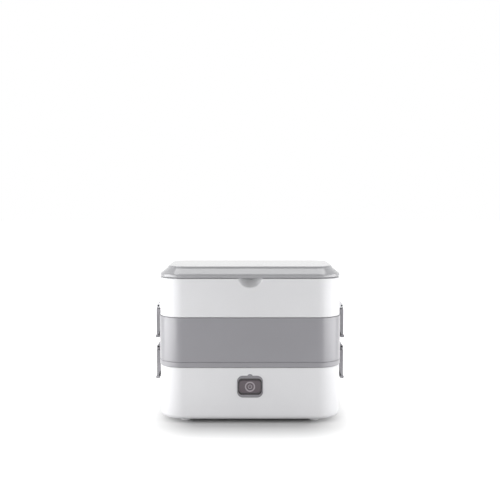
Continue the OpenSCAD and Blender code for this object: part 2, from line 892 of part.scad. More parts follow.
module cover_shell() color("whitesmoke")
difference() {
    union() {
        around(body_w, body_d, corner_r)
            cover_section();
        translate([0, 0, z_ceiling])
            plate(in_w + bite, in_d + bite, in_r + bite/2, ceiling_t);
        intersection() {
            scoop_ball(scoop_r + scoop_t);
            translate([-scoop_r - 5, front + wall - bite, z_ceiling + ceiling_t/2])
                cube([2*scoop_r + 10, scoop_d + scoop_t, z_lid - z_ceiling - ceiling_t/2]);
        }
        for (x = [-lid_hinge_x, lid_hinge_x])
            translate([x, hinge_y, 0]) {
                translate([-lid_knuckle/2, -lid_edge_r, z_lid - hinge_root])
                    cube([lid_knuckle, 2*lid_edge_r, hinge_root + seam + lid_edge_r]);
                translate([-lid_knuckle/2, 0, hinge_z])
                    rotate([0, 90, 0])
                        cylinder(r = lid_edge_r, h = lid_knuckle);
            }
        on_both_sides()
            clip_ears(body_w/2, z_cover + upper_pin_z);
    }
    scoop_ball(scoop_r);
    for (x = [-lid_hinge_x, lid_hinge_x])
        translate([x - lid_pin_l/2, hinge_y, hinge_z])
            rotate([0, 90, 0])
                cylinder(r = lid_pin_r + held, h = lid_pin_l);
    on_both_sides()
        clip_pin_holes(z_cover + upper_pin_z);
    for (i = [-2:2])
        translate([i*9 - 1.25, body_d/2 - wall - 3, z_ceiling - 11])
            cube([2.5, wall + 6, 8]);
}

module cover_seal() color("gainsboro")
around(body_w, body_d, corner_r)
    seal_section(wall + spigot_gap, z_cover + seam);

module lid_pin(side) color("silver")
translate([side*lid_hinge_x - lid_pin_l/2, hinge_y, hinge_z])
    rotate([0, 90, 0])
        cylinder(r = lid_pin_r, h = lid_pin_l);

// ---- Lid ----

module lid_section() {
    z0 = z_lid + seam;
    top = z0 + lid_h;
    slope_z = z0 + 5.6;
    slope_x = 1.7;
    step_x = slope_x + lid_slope_w - 1.5;
    roof = top - lid_t;
    polygon(concat(
        arc(lid_edge_r, z0 + lid_edge_r, lid_edge_r, -90, -180),
        [[0, z0 + lid_edge_r + 0.8], [0.5, z0 + 4.5], [slope_x, slope_z]],
        [[step_x, top - 2.9], [step_x + 1.1, top - 0.6], [step_x + 2, top]],
        [[slope_x + lid_slope_w + 3, top], [slope_x + lid_slope_w + 3, roof]],
        [[slope_x + lid_slope_w + 1.6, roof], [lid_rim, z0 + 5.6], [lid_rim, z0]]));
}

module lid() color("#a9a9ab")
difference() {
    top_in = 1.7 + lid_slope_w + 3 - bite;
    union() {
        around(body_w, body_d, corner_r)
            lid_section();
        translate([0, 0, z_lid + seam + lid_h - lid_t])
            plate(body_w - 2*top_in, body_d - 2*top_in, corner_r - top_in, lid_t);
    }
    for (x = [-lid_hinge_x, lid_hinge_x]) {
        translate([x - lid_knuckle/2 - knuckle_gap, hinge_y - lid_edge_r - 1, z_lid])
            cube([lid_knuckle + 2*knuckle_gap, 2*lid_edge_r + 2, seam + slot_top]);
        translate([x - lid_pin_l/2 - 0.5, hinge_y, hinge_z])
            rotate([0, 90, 0])
                cylinder(r = lid_pin_r + running, h = lid_pin_l + 1);
    }
}

// ---- Bowls ----

module bowl(x, z) color("silver")
translate([x, 0, z])
    rotate_extrude() {
        r = bowl_r - 1;
        foot = r - 2;
        turn = bowl_turn_r;
        polygon(concat(
            [[0, 0]],
            arc(foot - turn, turn, turn, -90, 0),
            [[r - 0.4, bowl_h - 2.4], [bowl_r, bowl_h - 2.1], [bowl_r, bowl_h - 0.8],
                [bowl_r - 0.6, bowl_h], [r - 0.2 - bowl_t, bowl_h],
                [r - 0.4 - bowl_t, bowl_h - 2.4]],
            arc(foot - turn, turn, turn - bowl_t, 0, -90),
            [[0, bowl_t]]));
    }

module bowl_lid(x, z) color("white")
translate([x, 0, z])
    rotate_extrude() {
        r = bowl_lid_r;
        top = bowl_top;
        polygon([[0, top - 3.2], [plug_r - 2, top - 3.2], [plug_r - 2, bowl_h - plug_h],
            [plug_r, bowl_h - plug_h], [plug_r, bowl_h + 0.3], [bowl_r + 0.5, bowl_h + 0.3],
            [bowl_r + 0.5, top - 2.1], [r - 2, top - 2.1], [r - 2, top - 8], [r, top - 8],
            [r, top - 1.5], [r - 0.4, top - 0.5], [r - 1.5, top], [plug_r - 0.5, top],
            [plug_r - 1.7, top - 1.2], [0, top - 1.2]]);
    }

module bowl_seal(x, z) color("gainsboro")
translate([x, 0, z])
    rotate_extrude()
        translate([plug_r + 0.05, bowl_h - plug_h + 1.2])
            square([0.95, 2.6]);

// ---- The pieces ----

base_shell();
bottom_cover();
foot(-foot_x, -foot_y);  // foot_front_left
foot(foot_x, -foot_y);  // foot_front_right
foot(-foot_x, foot_y);  // foot_rear_left
foot(foot_x, foot_y);  // foot_rear_right
water_pan();
heater_plate();
ptc_element();
heater_clamp();
clamp_screws();
thermostat();
thermal_fuse();
terminal_block();
inlet_socket();
inlet_pins();
switch_bezel();
switch_body();
switch_board();
board_screws();
indicator_lens();
power_key();
wiring();
base_screws();
tier_shell();
steam_deck();
tier_seal();
clip_pin(-1, z_tier + lower_pin_z);  // clip_pin_lower_left
clip_pin(1, z_tier + lower_pin_z);  // clip_pin_lower_right
clip(-1, z_tier + lower_pin_z);  // clip_lower_left
clip(1, z_tier + lower_pin_z);  // clip_lower_right
cover_shell();
cover_seal();
clip_pin(-1, z_cover + upper_pin_z);  // clip_pin_upper_left
clip_pin(1, z_cover + upper_pin_z);  // clip_pin_upper_right
clip(-1, z_cover + upper_pin_z);  // clip_upper_left
clip(1, z_cover + upper_pin_z);  // clip_upper_right
lid();
lid_pin(-1);  // lid_pin_left
lid_pin(1);  // lid_pin_right
bowl(-bowl_x, z_bowl_low);  // bowl_lower_left
bowl(bowl_x, z_bowl_low);  // bowl_lower_right
bowl(-bowl_x, z_bowl_up);  // bowl_upper_left
bowl(bowl_x, z_bowl_up);  // bowl_upper_right
bowl_lid(-bowl_x, z_bowl_low);  // bowl_lid_lower_left
bowl_lid(bowl_x, z_bowl_low);  // bowl_lid_lower_right
bowl_lid(-bowl_x, z_bowl_up);  // bowl_lid_upper_left
bowl_lid(bowl_x, z_bowl_up);  // bowl_lid_upper_right
bowl_seal(-bowl_x, z_bowl_low);  // bowl_seal_lower_left
bowl_seal(bowl_x, z_bowl_low);  // bowl_seal_lower_right
bowl_seal(-bowl_x, z_bowl_up);  // bowl_seal_upper_left
bowl_seal(bowl_x, z_bowl_up);  // bowl_seal_upper_right
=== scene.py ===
import math

import bpy
import numpy as np
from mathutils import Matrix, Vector


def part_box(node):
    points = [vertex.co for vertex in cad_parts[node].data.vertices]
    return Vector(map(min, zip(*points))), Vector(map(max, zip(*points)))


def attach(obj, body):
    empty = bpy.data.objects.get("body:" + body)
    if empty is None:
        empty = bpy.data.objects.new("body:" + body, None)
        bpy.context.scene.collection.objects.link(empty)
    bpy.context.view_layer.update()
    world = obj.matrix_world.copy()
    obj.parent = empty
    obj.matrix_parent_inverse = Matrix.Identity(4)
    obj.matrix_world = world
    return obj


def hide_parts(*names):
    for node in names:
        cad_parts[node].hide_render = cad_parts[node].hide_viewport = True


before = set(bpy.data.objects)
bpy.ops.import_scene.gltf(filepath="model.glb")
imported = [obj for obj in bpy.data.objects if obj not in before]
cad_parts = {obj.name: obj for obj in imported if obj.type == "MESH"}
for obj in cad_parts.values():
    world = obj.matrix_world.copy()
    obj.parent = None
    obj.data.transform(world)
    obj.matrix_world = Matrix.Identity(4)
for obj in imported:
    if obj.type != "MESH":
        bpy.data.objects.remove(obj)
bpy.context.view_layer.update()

# ---- Base shell ----
# The white housing of the heated base: a box with round corners that turns under at the
# foot, injection moulded in ABS. It carries the pan on a ledge and a lug for each lower clip.


def height(node, end):
    """Where a CAD node ends in millimetres: end 0 is its lowest point and 1 its highest."""
    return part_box(node)[end][2]*1000


def middle(node, axis):
    """The middle of a CAD node along an axis in millimetres: half the sum of its two ends."""
    return (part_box(node)[0][axis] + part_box(node)[1][axis])*500


def rounded(corners, step=15):
    """An outline with its corners rounded. Each corner is (x, y, radius). With h half its inner
    angle, the arc starts radius/tan(h) before it, and its centre lies radius/sin(h) from it on
    the line that halves the angle; the arc turns through 180 degrees less 2h, with a point at
    least every step degrees."""
    c = np.array(corners, float)
    points = []
    for i, (x, y, r) in enumerate(c):
        p = np.array([x, y])
        if r == 0:
            points.append(p[None])
            continue
        a, b = c[i - 1, :2] - p, c[(i + 1) % len(c), :2] - p
        a, b = a/np.linalg.norm(a), b/np.linalg.norm(b)
        half = math.acos(np.clip(a @ b, -1, 1))/2
        centre = p + (a + b)/np.linalg.norm(a + b)*r/math.sin(half)
        u = p + a*r/math.tan(half) - centre
        turn = math.copysign(math.pi - 2*half, a[1]*b[0] - a[0]*b[1])
        n = max(1, math.ceil(abs(math.degrees(turn))/step))
        t = np.linspace(0, turn, n + 1)[:, None]
        points.append(centre + u*np.cos(t) + np.array([-u[1], u[0]])*np.sin(t))
    return np.vstack(points)


def box_path(w, d, r, front=(), rear=(), n=16):
    """The way round a rounded rectangle, anticlockwise from its left side: points, and the
    direction inwards at each. Corner points are centre + r (cos a, sin a), the direction is
    minus (cos a, sin a), and front and rear add points at these x on the straights."""
    x, y = w/2 - r, d/2 - r
    points, inwards = [], []
    for cx, cy, a0, more in ((-x, -y, 180, sorted(front)), (x, -y, 270, ()),
                             (x, y, 0, sorted(rear)[::-1]), (-x, y, 90, ())):
        a = np.radians(a0 + np.linspace(0, 90, n))
        turn = np.stack([np.cos(a), np.sin(a)], 1)
        side = math.copysign(1, cy)
        points += [np.array([cx, cy]) + r*turn] + [np.array([[m, side*d/2]]) for m in more]
        inwards += [-turn] + [np.array([[0., -side]]) for m in more]
    return np.vstack(points), np.vstack(inwards)


def skin(grid, ring=True, ends=False, holes=(), notches=()):
    """The surface of a grid of points [i, j]: i runs round the piece and closes, and j along its
    section, which closes too (ring) or stops at two flat ends. A hole (i, j, k) opens cell j of
    the outer face through to cell k of the inner one. A notch (i, j, k) cuts away the cells from
    j to k, and closes the cut with a flat face and two sides."""
    n, m = grid.shape[:2]
    i, j = np.meshgrid(np.arange(n), np.arange(m if ring else m - 1), indexing="ij")
    i2, j2 = (i + 1) % n, (j + 1) % m
    cells = np.stack([i*m + j, i2*m + j, i2*m + j2, i*m + j2], -1)
    keep = np.ones(i.shape, bool)
    extra = []
    at = lambda c, q: c*m + q % m
    for a, j, k in holes:
        b = (a + 1) % n
        keep[a, j] = keep[a, k] = False
        extra += [[at(a, j), at(b, j), at(b, k + 1), at(a, k + 1)],
                  [at(b, j + 1), at(a, j + 1), at(a, k), at(b, k)],
                  [at(a, j + 1), at(a, j), at(a, k + 1), at(a, k)],
                  [at(b, j), at(b, j + 1), at(b, k), at(b, k + 1)]]
    for a, j, k in notches:
        b = (a + 1) % n
        keep[a, j:k] = False
        extra += [[a*m + j, b*m + j, b*m + k, a*m + k],
                  [a*m + q for q in range(k, j - 1, -1)], [b*m + q for q in range(j, k + 1)]]
    if ends:
        extra += [[q*m for q in range(n - 1, -1, -1)], [q*m + m - 1 for q in range(n)]]
    return grid.reshape(-1, 3), cells[keep].tolist() + extra


def carried(path, section, **form):
    """A section of (inset, height) carried round a path: point + direction * inset, at height."""
    points, inwards = path
    s = np.asarray(section, float)
    flat = points[:, None] + inwards[:, None]*s[None, :, :1]
    z = np.broadcast_to(s[None, :, 1:], flat.shape[:2] + (1,))
    return skin(np.concatenate([flat, z], -1), **form)


def prism(outline, y0, y1):
    """An outline in x and z, carried straight from depth y0 to y1."""
    o = np.asarray(outline, float)
    grid = np.stack([np.stack([o[:, 0], np.full(len(o), y), o[:, 1]], 1) for y in (y0, y1)], 1)
    return skin(grid, ring=False, ends=True)


def mirrored(part):
    """The same part on the other side: x changes sign, and each face is walked backwards."""
    points, faces = part
    return points*[-1, 1, 1], [f[::-1] for f in faces]


def at_section(section, inset, z):
    """Which point of a section lies nearest to (inset, z)."""
    return int(np.argmin(np.abs(np.asarray(section) - [inset, z]).sum(1)))


def at_path(path, x, y):
    """Which point of a path lies nearest to (x, y)."""
    return int(np.argmin(np.abs(path[0] - [x, y]).sum(1)))


def join(*parts):
    """Parts as one list of points and one of faces, each part turned so that its faces point
    outwards: a sixth of the sum of each triangle's triple product is its volume, which is
    negative where they point inwards. Millimetres become metres."""
    points, faces, start = [], [], 0
    for p, f in parts:
        tri = np.array([[q[0], q[k], q[k + 1]] for q in f for k in range(1, len(q) - 1)])
        a, b, c = p[tri[:, 0]], p[tri[:, 1]], p[tri[:, 2]]
        inside_out = np.einsum("ij,ij->i", a, np.cross(b, c)).sum() < 0
        faces += [[v + start for v in (q[::-1] if inside_out else q)] for q in f]
        points.append(p)
        start += len(p)
    return np.vstack(points)/1000, faces


def worked(part, *steps):
    """A part worked by others in turn: each step is a Boolean operation and the part that does
    it. The result is points and faces again, in millimetres."""
    made = []
    for p, f in [part] + [tool for kind, tool in steps]:
        p, f = join((p, f))
        mesh = bpy.data.meshes.new("work")
        mesh.from_pydata(p.tolist(), [], f)
        made.append(bpy.data.objects.new("work", mesh))
        bpy.context.scene.collection.objects.link(made[-1])
    for (kind, tool), o in zip(steps, made[1:]):
        b = made[0].modifiers.new("work", "BOOLEAN")
        b.operation, b.object, b.solver = kind, o, "EXACT"
    depsgraph = bpy.context.evaluated_depsgraph_get()
    mesh = bpy.data.meshes.new_from_object(made[0].evaluated_get(depsgraph))
    co = np.empty(len(mesh.vertices)*3)
    mesh.vertices.foreach_get("co", co)
    faces = [list(f.vertices) for f in mesh.polygons]
    for o in made:
        bpy.data.objects.remove(o)
    bpy.data.meshes.remove(mesh)
    return co.reshape(-1, 3)*1000, faces


def piece(name, parts, finish, body, *nodes, edge=0, sharp=35):
    """A finished piece of the object: its mesh, smooth between edges sharper than this angle,
    its material, its body and the CAD nodes it stands for. Where the moulding rounds its
    edges, they are broken by edge millimetres."""
    mesh = bpy.data.meshes.new(name)
    points, faces = join(*parts)
    mesh.from_pydata(points.tolist(), [], faces)
    mesh.polygons.foreach_set("use_smooth", np.ones(len(mesh.polygons), bool))
    mesh.set_sharp_from_angle(angle=math.radians(sharp))
    mesh.materials.append(finish)
    o = bpy.data.objects.new(name, mesh)
    bpy.context.scene.collection.objects.link(o)
    if edge:
        b = o.modifiers.new("edge", "BEVEL")
        b.width, b.segments = edge/1000, 2
        b.limit_method, b.angle_limit = "ANGLE", math.radians(sharp)
        b.harden_normals = True
    else:
        o.modifiers.new("normals", "WEIGHTED_NORMAL").keep_sharp = True
    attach(o, body)
    if nodes:
        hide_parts(*nodes)
    return o


def linear(colour):
    """An sRGB hex colour as Blender's linear one: c/12.92 where a channel is dark, and
    ((c + 0.055)/1.055)^2.4 elsewhere."""
    c = np.array([int(colour[i:i + 2], 16) for i in (1, 3, 5)])/255
    return tuple(np.where(c <= 0.04045, c/12.92, ((c + 0.055)/1.055)**2.4)) + (1.0,)


def add(tree, kind, links=None, **settings):
    """Adds a node: settings are its own, and links are its sockets, each a value or the socket
    that feeds it."""
    node = tree.nodes.new(kind)
    for k, v in settings.items():
        setattr(node, k, v)
    for k, v in (links or {}).items():
        if isinstance(v, bpy.types.NodeSocket):
            tree.links.new(v, node.inputs[k])
        else:
            node.inputs[k].default_value = v
    return node


def blank(name):
    """A new material, and its node tree with nothing in it."""
    m = bpy.data.materials.new(name)
    m.use_nodes = True
    m.node_tree.nodes.clear()
    return m, m.node_tree


def moulded(name, colour, cloud, rough, grain=0.5, relief=0.015, coat=0.0, coat_rough=0.05,
            ior=1.5):
    """Moulded plastic. The spark-eroded mould leaves a grain of this many millimetres and this
    relief, and the melt leaves clouds 60 mm wide, from one colour to the other, and a little
    smoother in one place than in the next."""
    m, t = blank(name)
    cloud_width, drift = 0.06, 0.01
    place = add(t, "ShaderNodeTexCoord").outputs["Object"]
    flow = add(t, "ShaderNodeTexNoise", {"Vector": place, "Scale": 1/cloud_width,
                                         "Detail": 7.0, "Roughness": 0.65})
    tone = add(t, "ShaderNodeValToRGB", {"Fac": flow.outputs["Fac"]})
    for end, at, c in ((0, 0.36, colour), (1, 0.64, cloud)):
        tone.color_ramp.elements[end].position = at
        tone.color_ramp.elements[end].color = linear(c)
    gloss = add(t, "ShaderNodeMapRange", {
        "Value": flow.outputs["Fac"], "From Min": 0.3, "From Max": 0.7,
        "To Min": rough - drift, "To Max": rough + drift})
    spark = add(t, "ShaderNodeTexNoise", {"Vector": place, "Scale": 1000/grain, "Detail": 2.0})
    bump = add(t, "ShaderNodeBump", {"Height": spark.outputs["Fac"], "Strength": 0.5,
                                     "Distance": relief/1000})
    surface = add(t, "ShaderNodeBsdfPrincipled", {
        "Base Color": tone.outputs["Color"], "Roughness": gloss.outputs["Result"],
        "Normal": bump.outputs["Normal"], "IOR": ior, "Coat Weight": coat,
        "Coat Roughness": coat_rough})
    add(t, "ShaderNodeOutputMaterial", {"Surface": surface.outputs["BSDF"]})
    return m


# White ABS with a satin skin: an even white with soft wide highlights at the corners.
white_abs = moulded("satin_white_abs", "#DEDEE0", "#E0E0E2", 0.42)

# sizes are in millimetres, and join() turns them into metres
body_w, body_d, corner_r, wall = 235, 125, 32, 2.5
front = -body_d/2
foot_h, z_tier = height("base_shell", 0), height("base_shell", 1)
# the radius by which the foot turns under, the flat band inside it, and the rims' radii
foot_turn, foot_band, rim_r, edge_r = 6, 10, 0.8, 0.3
switch_z, switch_w, switch_h, switch_r = 48.2, 33.3, 28.2, 7.5
inlet_x, inlet_z, inlet_w, inlet_h = 66, 20.5, 22.6, 13.6

inlet_edges = [inlet_z - inlet_h/2, inlet_z + inlet_h/2]
base_outline = rounded(
    [(foot_band, foot_h, edge_r), (0, foot_h, foot_turn)] + [(0, z, 0) for z in inlet_edges]
    + [(0, z_tier, rim_r), (wall, z_tier, edge_r)] + [(wall, z, 0) for z in inlet_edges[::-1]]
    + [(wall, foot_h + wall, foot_turn - wall), (foot_band, foot_h + wall, edge_r)], step=11)
base_path = box_path(body_w, body_d, corner_r, rear=(inlet_x - inlet_w/2, inlet_x + inlet_w/2))
base_holes = [(at_path(base_path, inlet_x + inlet_w/2, body_d/2),
               at_section(base_outline, 0, inlet_edges[0]),
               at_section(base_outline, wall, inlet_edges[1]))]
# the opening for the switch has round corners, and the bezel covers its edge by this much
cover_by = 0.8
opening = box_path(switch_w - 2*cover_by, switch_h - 2*cover_by, switch_r - cover_by, n=9)[0]
base_wall = worked(carried(base_path, base_outline, holes=base_holes),
                   ("DIFFERENCE", prism(opening + [0, switch_z], front - 2, front + wall + 2)))

pin_x, pin_drop = body_w/2 + 4, 27
# the hooks' face falls at this angle, from an edge this far inside the pin; what stands on a
# wall is rooted this deep in it
hook_fall, hook_in, root = math.radians(60), 0.4, 0.5
lug_w = 22


def clip_lug(wall_x, pin_z):
    """The wedge that a clip hooks under: its lower face falls from the tip to the wall at 60
    degrees, parallel to the face of the hook."""
    tip_x, tip_z = pin_x - hook_in, pin_z - pin_drop
    low = tip_z - (tip_x - wall_x)*math.tan(hook_fall)
    return prism(rounded([(wall_x - root, low, 0), (wall_x, low, 0), (tip_x, tip_z, 0.25),
                          (tip_x, tip_z + 0.8, 0.3), (wall_x, tip_z + 3, 0.3),
                          (wall_x - root, tip_z + 3, 0)]), -lug_w/2, lug_w/2)


lower_pin_z = middle("clip_pin_lower_right", 2)
base_lug = clip_lug(body_w/2, lower_pin_z)

# The shells meet with this seam; a spigot reaches this deep into the shell below, with this
# room under it. The ledge takes the pan's flange, and its opening clears the bowls.
seam, spigot_h, spigot_room, pan_t, ledge_t = 0.3, 6, 1.2, 0.8, 2
ledge_top = z_tier + seam - spigot_h - spigot_room - pan_t
bowl_left, bowl_right = (corner[0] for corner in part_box("bowl_lower_right"))
bowl_x, bowl_r = (bowl_left + bowl_right)*500, (bowl_right - bowl_left)*500
row_r = bowl_r + 2.5


def row_path(r, like):
    """A slab's outline with two round ends, one point for each point of another path: the same
    direction from the middle of its nearer bowl, or from the line between the two bowls, taken
    out to radius r."""
    points = like[0]
    centre = np.stack([np.clip(points[:, 0], -bowl_x, bowl_x), np.zeros(len(points))], 1)
    out = points - centre
    return centre + out/np.linalg.norm(out, axis=1)[:, None]*r


def ledge():
    """The ledge: a flat band between the inside of the wall and the pan's opening."""
    across = np.linspace(-bowl_x, bowl_x, 9)
    path = box_path(body_w - 2*wall + root, body_d - 2*wall + root, corner_r - wall + root/2,
                    front=across, rear=across)
    inner = row_path(row_r, path)
    rings = [(path[0], ledge_top - ledge_t), (path[0], ledge_top), (inner, ledge_top),
             (inner, ledge_top - ledge_t)]
    return skin(np.stack([np.column_stack([p, np.full(len(p), z)]) for p, z in rings], 1))


def round_path(x, y, n=48):
    """The way round an upright axis at (x, y): every point is on the axis, and its direction
    (cos a, sin a) points away from it, so that an inset is a radius."""
    a = np.arange(n)*2*math.pi/n
    return np.tile([float(x), float(y)], (n, 1)), np.stack([np.cos(a), np.sin(a)], 1)


# four bosses take the bottom cover's screws
boss_x, boss_y, boss_r, bore_r = body_w/2 - 21.5, body_d/2 - 21.5, 3.5, 1.5
boss_low, boss_top = foot_h + wall, ledge_top - ledge_t/2
bosses = [carried(round_path(x, y, 24), [(bore_r, boss_low), (boss_r, boss_low),
                                         (boss_r, boss_top), (bore_r, boss_top)])
          for x in (-boss_x, boss_x) for y in (-boss_y, boss_y)]
base = piece("base_housing", [base_wall, base_lug, mirrored(base_lug), ledge()] + bosses,
             white_abs, "base", "base_shell")

# ---- Bottom cover, its screws and the feet ----
# A flat polypropylene cover closes the base from below, held by four steel screws. The feet
# are soft white pads pressed into it.


def repaint(finish, *names):
    """Gives CAD nodes that keep their shape their real material."""
    for name in names:
        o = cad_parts[name]
        if not o.material_slots:
            o.data.materials.append(finish)
        for slot in o.material_slots:
            slot.material = finish


def metal(name, colour, dark, rough, grain=(0.05, 0.6), relief=0.0, spread=0.05):
    """Bare metal. Rolling or turning leaves fine lines: noise squeezed along one way and
    stretched along the other, these widths in millimetres, moves the tone and the gloss."""
    m, t = blank(name)
    fine, long = 1000/grain[0], 1000/grain[1]
    place = add(t, "ShaderNodeTexCoord").outputs["Object"]
    stretch = add(t, "ShaderNodeMapping", {"Vector": place, "Scale": (long, fine, fine)})
    lines = add(t, "ShaderNodeTexNoise", {"Vector": stretch.outputs["Vector"], "Scale": 1.0,
                                          "Detail": 2.0})
    tone = add(t, "ShaderNodeValToRGB", {"Fac": lines.outputs["Fac"]})
    for end, at, c in ((0, 0.3, dark), (1, 0.7, colour)):
        tone.color_ramp.elements[end].position = at
        tone.color_ramp.elements[end].color = linear(c)
    gloss = add(t, "ShaderNodeMapRange", {
        "Value": lines.outputs["Fac"], "From Min": 0.3, "From Max": 0.7,
        "To Min": max(0.02, rough - spread), "To Max": rough + spread})
    links = {"Base Color": tone.outputs["Color"], "Metallic": 1.0,
             "Roughness": gloss.outputs["Result"]}
    if relief:
        bump = add(t, "ShaderNodeBump", {"Height": lines.outputs["Fac"], "Strength": 0.4,
                                         "Distance": relief/1000})
        links["Normal"] = bump.outputs["Normal"]
    surface = add(t, "ShaderNodeBsdfPrincipled", links)
    add(t, "ShaderNodeOutputMaterial", {"Surface": surface.outputs["BSDF"]})
    return m


# Natural polypropylene, duller and waxier than the ABS beside it.
bottom_pp = moulded("bottom_polypropylene", "#C9C9CB", "#CFCFD1", 0.5, grain=0.8, relief=0.03)
repaint(bottom_pp, "bottom_cover")
# Zinc-plated steel: grey, a little blue, with the short glints of its turned heads.
zinc = metal("zinc_plated_steel", "#B9BCC0", "#9A9DA2", 0.32, grain=(0.08, 0.08))
repaint(zinc, "base_screws", "board_screws", "clamp_screws")
# White thermoplastic rubber: matt, with a faint cast texture.
foot_tpe = moulded("white_foot_rubber", "#EFEFF0", "#F2F2F3", 0.62, grain=0.35, relief=0.02)

# a pad is dished below, and a stem of this radius and height holds it in the cover
foot_x, foot_y, foot_r, stem_r, stem_h = body_w/2 - 33.5, body_d/2 - 20.5, 6, 2, 2.3
pad = rounded([(2.6, 0.5, 0), (3.4, 0, 0.3), (foot_r, 0, 0.8), (foot_r, foot_h, 0.3),
               (stem_r, foot_h, 0), (stem_r, foot_h + stem_h, 0.3), (1, foot_h + stem_h, 0)],
              step=20)
for node, sx, sy in (("foot_front_left", -1, -1), ("foot_front_right", 1, -1),
                     ("foot_rear_left", -1, 1), ("foot_rear_right", 1, 1)):
    around = round_path(sx*foot_x, sy*foot_y, 40)
    foot = piece(node + "_pad", [carried(around, pad, ring=False, ends=True)], foot_tpe,
                 "base", node)

# ---- Water pan and heater ----
# The pan is drawn from stainless sheet and hangs by its flange. A die-cast plate is bonded
# under it, and a sprung steel strap with two screws presses the heating element against it.

# Stainless sheet with the satin of the drawing die.
drawn_steel = metal("drawn_stainless", "#C6C5C3", "#B4B3B1", 0.24, grain=(0.12, 2.0))
repaint(drawn_steel, "water_pan")
# Cast aluminium is greyer and coarser than sheet.
cast_aluminium = metal("cast_aluminium", "#A8AAAD", "#8E9093", 0.48, grain=(0.4, 0.4),
                       relief=0.03)
repaint(cast_aluminium, "heater_plate", "ptc_element")
# Cold-rolled strip, bright with its rolling lines.
strip_steel = metal("cold_rolled_strip", "#B5B6B8", "#9FA0A3", 0.28, grain=(0.06, 1.5))
repaint(strip_steel, "heater_clamp")

# ---- Thermostat, fuse, terminal block and mains inlet ----
# The thermostat and the fuse body are pressed steatite. The inlet is black nylon with two
# brass pins, pushed into the rear wall from outside.

# Unglazed steatite: chalky, off-white, with a sandy grain.
steatite = moulded("steatite_ceramic", "#D8CFBF", "#E2DACC", 0.7, grain=0.3, relief=0.04)
repaint(steatite, "thermostat", "thermal_fuse", "terminal_block")
# Glass-filled nylon: black, with pale flecks of fibre at the skin.
nylon = moulded("glass_filled_nylon", "#1B1B1C", "#242426", 0.45, grain=0.4, relief=0.03)
repaint(nylon, "inlet_socket")
# Brass rod, warm and bright.
brass = metal("turned_brass", "#D9B45F", "#C39A45", 0.22, grain=(0.08, 0.08))
repaint(brass, "inlet_pins")

# ---- Switch ----
# A push key in a grey bezel that snaps into the front wall. The key latches a small switch on
# its board behind, and a moon-shaped window above the bezel shows the indicator lamp.


def stacked(rings, z0, y0, **form):
    """A piece facing the front, as rounded rectangles (width, height, radius, out): each is
    walked round this far out in front of y0, about a middle at height z0."""
    layers = []
    for w, h, r, out in rings:
        p = box_path(w, h, r, n=9)[0]
        layers.append(np.stack([p[:, 0], np.full(len(p), y0 - out), z0 + p[:, 1]], 1))
    return skin(np.stack(layers, 1), **form)


# Grey ABS of the bezel, smoother than the tier.
bezel_abs = moulded("bezel_grey_abs", "#817F83", "#868489", 0.3)
# up the outside, over the face, down to a step round the key, and in along the sleeve and back
bezel_rings = [(switch_w, switch_h, switch_r, -0.4), (switch_w, switch_h, switch_r, 0.4),
               (33.1, 28.0, 7.4, 0.6), (32.7, 27.6, 7.2, 0.7),
               (31.1, 21.7, 5.2, 0.7), (30.7, 21.3, 5.05, 0.62),
               (30.6, 21.2, 5, 0.45), (30.6, 21.2, 5, -0.2),
               (29.0, 17.2, 5.4, -0.2), (29.0, 17.2, 5.4, -3.1),
               (31.1, 26.0, 6.4, -3.1), (31.1, 26.0, 6.4, -0.4)]
bezel = piece("switch_frame", [stacked(bezel_rings, switch_z, front)], bezel_abs,
              "base", "switch_bezel")

# A thin dark sheet lies on the bezel's floor round the key: painted shade for the shaded gap
# between key and bezel, so the key reads as a separate button.
gap_shade_finish = moulded("painted_gap_shade", "#302C2E", "#363234", 0.4)
border_rings = [(30.5, 21.1, 5, -0.18), (30.5, 21.1, 5, 0.02),
                (29.1, 17.3, 5.4, 0.02), (29.1, 17.3, 5.4, -0.18)]
border = piece("key_painted_shade_sheet", [stacked(border_rings, switch_z, front)], gap_shade_finish, "base")

# Charcoal ABS with a soft-touch skin: dark, brownish, almost without a highlight.
key_abs = moulded("key_charcoal_abs", "#574F54", "#5C5459", 0.46)
y_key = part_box("power_key")[0][1]*1000
key_w, key_h, key_r, stem_w = 28.2, 16.4, 5, 5
# the cap's front edge is rounded in two steps, and a stem behind it works the switch
key_rings = [(key_w - less, key_h - less, key_r - less/2, -behind)
             for less, behind in ((0.6, 0), (0.2, 0.12), (0, 0.4), (0, 2.5), (0.2, 2.6))]
key_rings += [(stem_w, stem_w, 0.3, -2.6), (stem_w, stem_w, 0.3, -6)]
key = piece("push_key", [stacked(key_rings, switch_z, y_key, ring=False, ends=True)], key_abs,
            "power_key", "power_key")


def band(points, width, thick, z0, y0, closed):
    """A flat band in front of a face: its middle line is given, its edges lie half the width to
    each side of it along the normal, and its front face stands proud by thick."""
    p = np.asarray(points, float)
    step = (np.roll(p, -1, 0) - np.roll(p, 1, 0)) if closed else np.gradient(p, axis=0)
    side = np.stack([-step[:, 1], step[:, 0]], 1)/np.linalg.norm(step, axis=1)[:, None]
    rows = [(-width/2, 0), (-width/2, thick*0.7), (-width/2 + thick, thick),
            (width/2 - thick, thick), (width/2, thick*0.7), (width/2, 0)]
    grid = np.stack([np.stack([p[:, 0] + side[:, 0]*s, np.full(len(p), y0 - h),
                               z0 + p[:, 1] + side[:, 1]*s], 1) for s, h in rows], 1)
    return skin(grid) if closed else skin(grid.transpose(1, 0, 2), ring=False, ends=True)


def arc_points(r, a0, a1, n):
    """Points of an arc: r (cos a, sin a) from a0 to a1 degrees."""
    a = np.radians(np.linspace(a0, a1, n))
    return np.stack([r*np.cos(a), r*np.sin(a)], 1)


